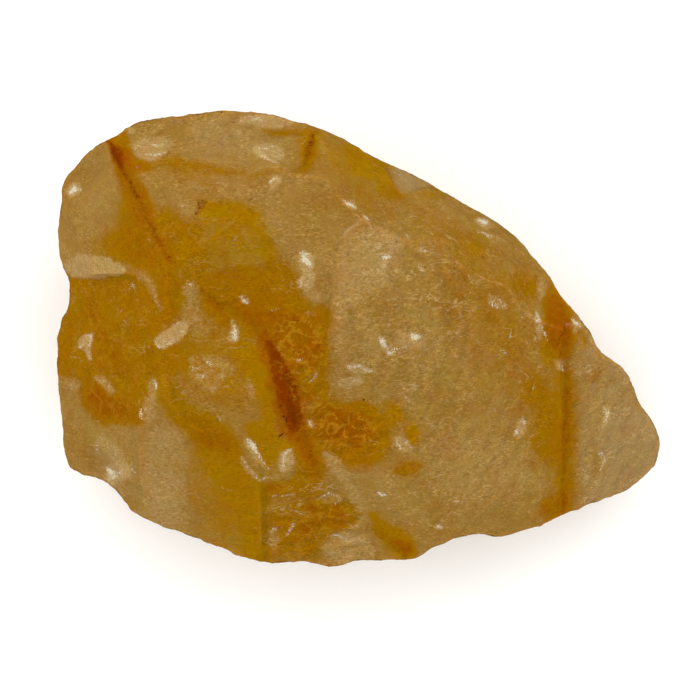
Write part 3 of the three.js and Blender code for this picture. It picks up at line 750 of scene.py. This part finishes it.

# %% Flecks
# Near-white flecks: open fractures, painted as glints that throw light straight back.
strokes(stone, "glint_fleck", {
    (0.2,): [[(-28.9, 13.6), (-28.85, 13.5)], [(5.1, 15.3), (5.2, 15.2)]],
    (0.12,): [
        [(-23.3, 22), (-23.25, 22)], [(-24.2, 18.05), (-24.15, 18)],
        [(-11.1, 17.4), (-11.05, 17.4)], [(13.4, 10.2), (13.45, 10.1)],
        [(18.5, -9.5), (18.5, -9.6)], [(7, -3.3), (7.05, -3.3)],
    ],
    (0.2, 0.1): [[(-16.9, 13.5), (-16.7, 13.9)], [(6.3, 14.2), (6.6, 13.9)]],
    (0.3, 0.1): [[(-12.2, 21.4), (-11.3, 21.9), (-10.8, 21.4)]],
    (0.1, 0.3, 0.1): [
        [(-16.5, 6.1), (-16, 5.7), (-15.3, 5.4)], [(-14.9, 29.9), (-13.6, 30.3), (-12.6, 30)],
        [(-8.3, 11.6), (-7.4, 11.6), (-6.6, 11.6)], [(17.2, 5.8), (17.9, 5), (18.6, 4.4)],
        [(-28.5, -5.5), (-28.2, -6.1), (-28, -6.8)], [(-7.4, -10.8), (-6.9, -11.4), (-6.4, -12.1)],
    ],
    (0.1, 0.35, 0.2): [[(-17.4, 2.6), (-17.4, 1.2), (-17.1, 0)]],
    (0.1, 0.25, 0.1): [
        [(-31.4, 6.9), (-31, 7.3), (-30.7, 6.9)], [(-29, 25.4), (-27.6, 25.2), (-26.4, 25.6)],
        [(-28.8, 27.2), (-27.8, 26.6), (-26.6, 26.6)], [(8, 12.5), (8.9, 12), (9.7, 11.6)],
        [(-1.7, -4.9), (-1.1, -5.2), (-0.6, -5.2)], [(-10.2, -26.8), (-9.4, -26), (-8.8, -25.2)],
    ],
    (0.1, 0.2, 0.1): [
        [(-37.8, 0.9), (-37, 0.8), (-36.4, 1.1)], [(-25.6, 1.6), (-24.6, 1.8), (-23.8, 2)],
        [(-13.5, 26.4), (-12.3, 26.2), (-11.3, 26.6)], [(16, 15), (17.2, 14.5), (18.5, 14)],
        [(18.6, 5.7), (19.3, 5), (19.8, 4.3)], [(19.2, -1), (19.8, -1.2), (20.5, -1.3)],
        [(27.6, -3.2), (28.1, -4), (28.5, -3)], [(-22.9, -3.9), (-22.5, -4.3), (-22, -4)],
        [(6, -13.8), (6.6, -14.6), (7.4, -15)], [(-12.6, -26.8), (-11.8, -26), (-11.2, -25.6)],
        [(-4.8, -27.6), (-3.2, -27.4), (-1.6, -27.9)],
    ],
    (0.2, 0.15, 0.1): [[(-36.9, 0.8), (-37.1, -0.6), (-37, -2.6)]],
    (0.1, 0.2): [[(-39.4, -1.2), (-38, -0.7)]],
    (0.1, 0.3, 0.2, 0.1): [[(-27.6, -0.4), (-27.1, -1.2), (-26, -1), (-25, -0.2)]],
    (0.1, 0.25): [[(-23.8, 7.8), (-23.2, 7.2)], [(-22, -5.4), (-21.5, -5)]],
    (0.1, 0.2, 0.15): [[(-14, 26.1), (-12.6, 25), (-11.3, 24.1)]],
    (0.3, 0.5, 0.2): [
        [(-40.4, 20.2), (-39.6, 20.8), (-38.8, 20.6)], [(7.3, 1), (7.8, 0.6), (8.5, 0.7)],
    ],
    (0.1, 0.6, 0.4, 0.1): [[(-8.2, 10.6), (-7.5, 10.9), (-6.9, 10.2), (-6.4, 9.6)]],
    (0.2, 0.25, 0.1): [[(-8.3, 8.4), (-8.1, 7.8), (-7.8, 7.3)]],
    (0.1, 0.15, 0.1): [
        [(-12.5, 4), (-11.8, 4.2), (-11, 4.1)], [(6.1, -7.8), (6.6, -8.5), (7, -9)],
        [(-36.4, -14.2), (-36.2, -15), (-36.3, -15.8)],
    ],
    (0.1, 0.1): [[(-7.6, 3.8), (-5.5, 3.9)], [(5, -0.8), (7.4, -0.4)], [(5, 5.5), (5.7, 5.8)]],
    (0.1, 0.4, 0.2): [[(-2, 18.9), (-1.2, 18.3), (-0.3, 17.9)]],
    (0.15, 0.3, 0.1): [[(0.5, 17.1), (0.9, 16.6), (1.4, 16.3)]],
    (0.1, 0.35, 0.1): [[(2.8, 11.6), (3.6, 11.3), (4.5, 11.2)]],
    (0.2, 0.2): [[(8, 10), (8.6, 9)]],
    (0.4, 0.5): [[(16.6, 16.3), (17.4, 15.9)]],
    (0.1, 0.15): [
        [(14.8, 9.2), (15.3, 8.5)], [(24.1, 2.6), (24.2, -0.6)], [(-36.6, -10.8), (-35.8, -11.4)],
        [(-19.6, -10.8), (-19.1, -11.2)],
    ],
    (0.15,): [
        [(11.7, 2.6), (11.8, 2.5)], [(20.7, 1.1), (20.75, 1.1)], [(22, 3), (22.05, 3)],
        [(22.1, -5.6), (22.1, -5.7)], [(24, -6.4), (24.05, -6.4)], [(4, -23.5), (4.1, -23.5)],
        [(31.4, -19.1), (31.8, -19.2)],
    ],
    (0.1, 0.5, 0.4, 0.1): [[(2.6, 0.4), (3.2, -0.1), (3.8, -0.6), (4.2, -1.2)]],
    (0.15, 0.35, 0.1): [
        [(3.8, -0.9), (4.2, -1.5), (5.2, -1.2)], [(33.8, -9.4), (34.1, -10.4), (34, -11.6)],
    ],
    (0.1, 0.35, 0.2, 0.3, 0.1): [[(-2.4, -3.1), (-1.5, -3.5), (-0.3, -3.2), (0.9, -4.1),
        (1.9, -4.2)]],
    (0.1, 0.25, 0.15, 0.25, 0.1): [[(24, 4.4), (24.5, 3), (25, 1.4), (25.4, 0.6), (25.8, -0.4)]],
    (0.2, 0.4, 0.2): [[(29.6, 2.9), (30.2, 2.2), (30.8, 1.6)]],
    (0.1, 0.3, 0.15): [
        [(-21.4, -2.6), (-20.8, -3), (-20.2, -3.6)], [(-30.3, -8.9), (-30, -10), (-29.9, -10.9)],
    ],
    (0.2, 0.4, 0.3, 0.1): [[(-35, -17.8), (-34.4, -18.8), (-33.6, -18.6), (-33, -18.2)]],
    (0.2, 0.3, 0.1): [[(-34.6, -19.6), (-33.9, -19.2), (-33.2, -19.6)]],
    (0.15, 0.2): [[(-31.8, -17.4), (-31.2, -18.6)]],
    (0.05, 0.12, 0.05): [
        [(-19.2, -20.4), (-18.2, -20.7), (-17.3, -20.8)],
        [(-9.8, -23.2), (-8.2, -23.8), (-6.9, -24.3)],
    ],
    (0.2, 0.5, 0.3, 0.1): [[(-15.5, -13.4), (-14.8, -14.4), (-13.9, -15.7), (-12.6, -17.6)]],
    (0.1, 0.12, 0.15, 0.1): [[(-16.2, -16.2), (-14.9, -17.5), (-13.6, -18.8), (-12.3, -18.5)]],
    (0.1, 0.3, 0.3, 0.1): [[(-10.9, -17.4), (-10.4, -16.2), (-9.9, -15.2), (-9, -14.9)]],
    (0.05, 0.15, 0.05): [
        [(-7, -6), (-6.2, -5.2), (-5.4, -4.2)], [(-11.8, -21.6), (-10.2, -21.4), (-8.8, -21.2)],
    ],
    (0.05, 0.2, 0.05): [[(-8.9, -2.4), (-8.4, -2.9), (-7.9, -2.6)]],
    (0.1, 0.3, 0.2): [[(4.8, -13.8), (5.3, -14.6), (5.9, -15.4)]],
    (0.3, 0.3): [[(21.7, -12.5), (21.9, -13)], [(10.8, -25.5), (11.4, -25.8)]],
    (0.15, 0.25): [[(22.4, -10.7), (22.7, -11.5)]],
    (0.3, 0.4): [[(2.8, -21), (3.4, -21.4)]],
    (0.15, 0.08, 0.05): [[(13.3, -22.2), (14.2, -22.1), (15.2, -22.2)]],
    (0.1, 0.2, 0.1, 0.2): [[(33.2, -15), (33.9, -15.8), (34.1, -17), (33.6, -18.6)]],
    (0.1, 0.15, 0.15, 0.1): [[(-5.4, -21.6), (-4, -20.9), (-2.4, -21.6), (-3.4, -22.9)]],
})

# %% Specks
strokes(stone, "speck", {
    (0.3,): [[(0.6, -8), (0.65, -8.05)]],
    (0.2,): [
        [(-18.9, 31), (-18.8, 31)], [(22.4, 7.6), (22.45, 7.6)], [(-19.3, 17.5), (-19.2, 17.5)],
        [(-17.7, 17.7), (-17.6, 17.7)],
    ],
    (0.22,): [[(22.4, 1.8), (22.5, 1.8)], [(23.3, -0.9), (23.3, -1.1)]],
    (0.18,): [[(16.7, 11.6), (16.75, 11.6)]],
    (0.15,): [
        [(-11.1, -9), (-11, -9.9)], [(-10.9, -10.7), (-10.5, -10.9), (-10.3, -11.8)],
        [(-10.5, -12.8), (-11.2, -13.1)],
    ],
    (0.08,): [[(-15.5, 18.6), (-15.2, 19.2), (-14, 20)]],
})
print("attributes:", [a.name for a in stone.data.attributes if not a.name.startswith(".")])

# %% [markdown]
# ## The finish of golden healer quartz
# Quartz is glass-like, index 1.544, but this piece is milky: most light that enters is scattered
# within a few millimetres and comes out again, red light furthest. Subsurface scattering gives
# that, where plain transmission would give clear glass. The colours come from the stains, each
# frayed by a noise of its own scale, so that a fade turns into fine feathers rather than airbrush.

# %% The stone's finish
# Milky quartz gives the eye a waxy skin over a warm glow from inside, stained at different depths.
RIPPLE_MM = 2.2  # from one arc to the next
BREAK_START = (-12, 4, 20)  # mm, the middle of the arcs
WAVE_REPEAT = 0.1 * math.pi  # how far apart the waves of a wave texture are at scale 1
HACKLES_MM = (3.4, 1.3, 0.55)
ARC_SHARE, HACKLE_SHARE = 0.6, 0.2  # of the height of a ripple
finish, tree, output = empty_material("golden healer quartz, raw break")
place = node(tree, "TexCoord").outputs["Object"]


def mottle(layers, start=place):
    """Noises added up: (size in mm, weight, detail, roughness, distortion). The mean is about 0."""
    total = -sum(weight for _, weight, *_ in layers) / 2
    for size_mm, weight, detail, rough, distortion in layers:
        noise = node(tree, "TexNoise", {
            "Vector": start, "Scale": 1 / (size_mm * MM), "Detail": detail, "Roughness": rough,
            "Distortion": distortion})
        total = node(tree, "Math", {0: noise, 1: weight, 2: total}, operation="MULTIPLY_ADD")
    return total


def ripples(start):
    """The height of the ripples: arcs round where the break started, and hackles of three sizes."""
    centre = node(tree, "Mapping", {"Vector": start, "Location": [-v * MM for v in BREAK_START]})
    height = node(tree, "TexWave", {
        "Vector": centre, "Scale": WAVE_REPEAT / (RIPPLE_MM * MM), "Distortion": 7.0,
        "Detail": 3.0, "Detail Scale": 1.2, "Detail Roughness": 0.6},
        wave_type="RINGS", rings_direction="SPHERICAL").outputs["Fac"]
    height = node(tree, "Math", {0: height, 1: ARC_SHARE}, operation="MULTIPLY")
    for size_mm in HACKLES_MM:
        hackles = node(tree, "TexNoise", {
            "Vector": start, "Scale": 1 / (size_mm * MM), "Detail": 2.0, "Roughness": 0.55,
            "Offset": 1.0, "Gain": 2.0, "Distortion": 0.5},
            noise_type="RIDGED_MULTIFRACTAL", normalize=False)
        height = node(tree, "Math", {0: hackles, 1: HACKLE_SHARE, 2: height},
                      operation="MULTIPLY_ADD")
    return height


def layered(under, layers):
    """Lay stains over a colour, each by its attribute, which a noise of its own size frays.

    A layer is (attribute, colour, strength, size of the fray in mm, how much it frays, and the
    amounts at which the stain begins and is full).
    """
    for name, shade, strength, fray_mm, fray, low, high in layers:
        painted = node(tree, "Attribute", attribute_name=name).outputs["Fac"]
        noise = node(tree, "TexNoise", {
            "Vector": place, "Scale": 1 / (fray_mm * MM), "Detail": 6.0, "Roughness": 0.7,
            "Distortion": 0.8})
        edge = node(tree, "Math", {0: noise, 1: fray, 2: painted}, operation="MULTIPLY_ADD")
        amount = node(tree, "MapRange", {
            "Value": edge, "From Min": low + fray / 2, "From Max": high + fray / 2,
            "To Max": strength}, interpolation_type="SMOOTHSTEP")
        under = node(tree, "Mix", {"Factor": amount, 6: under, 7: linear(shade)}, data_type="RGBA")
    return under


# %% Milky quartz and its stains
clouds = mottle([(7, 0.7, 2, 0.5, 0.3), (2.2, 0.5, 4, 0.6, 1.2)])
share = node(tree, "MapRange", {"Value": clouds, "From Min": -0.2, "From Max": 0.2},
             interpolation_type="SMOOTHSTEP")
colour = node(tree, "Mix", {"Factor": share, 6: linear("#896728"), 7: linear("#927238")},
              data_type="RGBA")
# The pale fibres of the milky body are drawn out one way, and are stronger in some places.
drawn_out = node(tree, "Mapping", {"Vector": place, "Rotation": (0, 0, 0.6), "Scale": (0.45, 1, 1)})
fibres = mottle([(1.4, 0.2, 5, 0.65, 1.0), (0.4, 0.8, 3, 0.7, 0.8), (0.2, 1.1, 1, 0.5, 0)],
                drawn_out)
patchy = mottle([(2.6, 1.0, 3, 0.55, 0.8)])
patchy = node(tree, "MapRange", {
    "Value": patchy, "From Min": -0.12, "From Max": 0.12, "To Min": 0.4, "To Max": 1.35})
fibres = node(tree, "Math", {0: fibres, 1: patchy}, operation="MULTIPLY")
share = node(tree, "MapRange", {"Value": fibres, "From Min": 0, "From Max": 0.45, "To Max": 0.45})
colour = node(tree, "Mix", {"Factor": share, 6: colour, 7: linear("#A88B57")}, data_type="RGBA")
colour = layered(colour, [
    ("grey", "#947B50", 0.85, 2.5, 1.0, 0.0, 0.9),
    ("yellow", "#8F6600", 1.0, 2.0, 1.0, -0.05, 0.65),
    ("gold", "#8B5F00", 1.0, 1.8, 1.0, -0.05, 0.62),
    ("amber", "#874D00", 0.95, 1.2, 1.8, 0.05, 0.95),
    ("milk", "#A58A59", 0.85, 0.5, 2.0, 0.15, 1.0),
    ("rust", "#763200", 0.95, 0.8, 1.9, 0.1, 1.0),
])

# %% [markdown]
# ## Ripples and crests
# On the real stone the ripples show because their far sides are darker and their crests catch more
# light. They are too low to show that by their shape alone, so the finish paints that light and
# shade into the colour: it looks their height up twice, a tenth of a millimetre apart, and paints
# shade on the side that falls away and light on the side that rises. Thin lighter golden lines
# along the ridges of a noise are a painted highlight where ridges catch light, and they are
# stronger where iron oxide is densest.

# %% Ripples and crests
BESIDE = 0.1 * MM
# The crests are lighter golden lines along ridges: a painted highlight where ridges catch light,
# stronger where amber is.
CREST, AMBER_CREST = 0.15, 0.4  # how strong crests are anywhere, and what full amber adds
height = ripples(place)
# Painted light and shade on the ripples: their height is looked up twice, a tenth of a millimetre
# apart.
beside = node(tree, "Mapping", {"Vector": place, "Location": (-BESIDE, BESIDE, 0)})
fall = node(tree, "Math", {0: height, 1: ripples(beside)}, operation="SUBTRACT")
rippled = node(tree, "Attribute", attribute_name="rippled").outputs["Fac"]
where = node(tree, "MapRange", {"Value": rippled, "To Min": 0.15, "To Max": 1.0})
edges = node(tree, "TexNoise", {
    "Vector": place, "Scale": 1 / (1.8 * MM), "Detail": 4.0, "Roughness": 0.65, "Offset": 1.0,
    "Gain": 2.0, "Distortion": 0.3}, noise_type="RIDGED_MULTIFRACTAL", normalize=False)
amber = node(tree, "Attribute", attribute_name="amber").outputs["Fac"]
share = node(tree, "Math", {0: amber, 1: AMBER_CREST, 2: CREST}, operation="MULTIPLY_ADD")
painted_crest_highlight = node(tree, "MapRange", {"Value": edges, "From Min": 1.5, "From Max": 2.0, "To Max": share},
             interpolation_type="SMOOTHSTEP")
painted_crest_highlight = node(tree, "Math", {0: painted_crest_highlight, 1: where}, operation="MULTIPLY")
colour = node(tree, "Mix", {"Factor": painted_crest_highlight, 6: colour, 7: linear("#AA811B")}, data_type="RGBA")

# %% [markdown]
# ## Hairline cracks
# Milky places are full of healed cracks: pale and brown threads a tenth of a millimetre wide, in
# loose bunches. Each set of threads is the narrow band where a drawn-out noise passes its middle
# value, which gives long wandering lines, and a second noise lets them show only here and there.

# %% Threads in the milky places
# Each set of threads: size of its swirls in mm, width of the band in the noise's own units, colour,
# strength, where its noise begins, and its turn in radians.
THREADS = [
    (1.6, 0.014, "#C3AD82", 0.6, 0.1, 0.5),
    (1.3, 0.012, "#6E4510", 0.4, 0.2, -0.3),
    (1.2, 0.014, "#C3AD82", 0.6, 0.3, -0.6),
]
RIPPLES_SHOW, AMBER_HIDES = 0.6, 0.8  # how many threads a rippled break shows and amber hides
milk = node(tree, "Attribute", attribute_name="milk").outputs["Fac"]
clear = node(tree, "Math", {0: where, 1: RIPPLES_SHOW}, operation="MULTIPLY")
clear = node(tree, "Math", {0: milk, 1: clear}, operation="MAXIMUM")
clear = node(tree, "Math", {0: amber, 1: -AMBER_HIDES, 2: clear}, operation="MULTIPLY_ADD",
             use_clamp=True)
for size_mm, width, shade, strength, begin, turn in THREADS:
    shifted = node(tree, "Mapping", {
        "Vector": place, "Location": (begin, begin, 0), "Rotation": (0, 0, turn),
        "Scale": (0.4, 1, 1)})
    swirl = node(tree, "TexNoise", {
        "Vector": shifted, "Scale": 1 / (size_mm * MM), "Detail": 2.0, "Roughness": 0.5,
        "Distortion": 0.6})
    thread = node(tree, "Math", {0: swirl, 1: 0.5, 2: width}, operation="COMPARE")
    bunch = node(tree, "TexNoise", {"Vector": shifted, "Scale": 1 / (2.2 * MM), "Detail": 3.0})
    fade = node(tree, "MapRange", {
        "Value": bunch, "From Min": 0.51, "From Max": 0.64, "To Max": strength})
    fade = node(tree, "Math", {0: fade, 1: thread}, operation="MULTIPLY")
    fade = node(tree, "Math", {0: fade, 1: clear}, operation="MULTIPLY")
    colour = node(tree, "Mix", {"Factor": fade, 6: colour, 7: linear(shade)}, data_type="RGBA")

# %% Shade, grain, veins and flecks
# Painted light and shade: the ripples' rising sides are lightened and their falling sides darkened
# through the value. The fibres' paleness is their own colour.
RIPPLE_SHADE, FIBRE_SHADE = 0.6, 0.6  # how much their height and paleness change the value
SAME_HUE = 0.5  # a hue node leaves colours alone at this value
ripple_light_and_shade = node(tree, "Math", {0: fall, 1: where}, operation="MULTIPLY")
value = node(tree, "Math", {0: ripple_light_and_shade, 1: RIPPLE_SHADE, 2: 1.0}, operation="MULTIPLY_ADD")
value = node(tree, "Math", {0: fibres, 1: FIBRE_SHADE, 2: value}, operation="MULTIPLY_ADD")
drift = mottle([(3.5, 0.035, 3, 0.6, 1.0)])
hue = node(tree, "Math", {0: drift, 1: SAME_HUE}, operation="ADD")
colour = node(tree, "HueSaturation", {"Hue": hue, "Value": value, "Color": colour})
colour = layered(colour, [
    ("vein", "#642800", 0.85, 0.35, 2.6, -0.1, 0.45),
    # The flecks' near-white is a painted glint.
    ("glint_fleck", "#CCC6B2", 0.9, 0.22, 2.0, 0.04, 0.3),
    ("speck", "#1E0D04", 0.95, 0.5, 0.0, 0.0, 0.1),
])

# %% [markdown]
# ## Gloss and glow
# A fresh break is glossy with slightly duller patches, and its finest ripples and tooth are too
# small for the mesh, so they are bump here. Light glows a few millimetres deep, red furthest, which
# one scattering depth with a share for each colour gives.

# %% Gloss, tooth and the milky body
QUARTZ_INDEX = 1.544
BUMP_HEIGHT = 0.3 * MM
RIPPLE_BUMP = 0.5  # the ripples' share in it, beside the tooth
SCATTER_DEPTH = 2.5 * MM
SCATTER_SHARES = (1.0, 0.5, 0.2)  # red, green and blue
tooth = mottle([(0.8, 0.25, 1, 0.5, 0)])
height = node(tree, "Math", {0: height, 1: where}, operation="MULTIPLY")
height = node(tree, "Math", {0: height, 1: RIPPLE_BUMP, 2: tooth}, operation="MULTIPLY_ADD")
bump = node(tree, "Bump", {"Height": height, "Distance": BUMP_HEIGHT, "Strength": 0.9})
gloss = mottle([(2.5, 1.0, 3, 0.5, 0)])
roughness = node(tree, "MapRange", {
    "Value": gloss, "From Min": -0.2, "From Max": 0.2, "To Min": 0.1, "To Max": 0.22})
quartz = node(tree, "BsdfPrincipled", {
    "Base Color": colour, "Roughness": roughness, "Normal": bump, "IOR": QUARTZ_INDEX,
    "Subsurface Weight": 0.8, "Subsurface Radius": SCATTER_SHARES,
    "Subsurface Scale": SCATTER_DEPTH}, subsurface_method="RANDOM_WALK")
tree.links.new(quartz.outputs[0], output.inputs["Surface"])
stone.data.materials.clear()
stone.data.materials.append(finish)
print("finish:", len(tree.nodes), "nodes")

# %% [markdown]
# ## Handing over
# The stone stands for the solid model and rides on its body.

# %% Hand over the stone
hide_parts("quartz_stone")
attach(stone, "root")
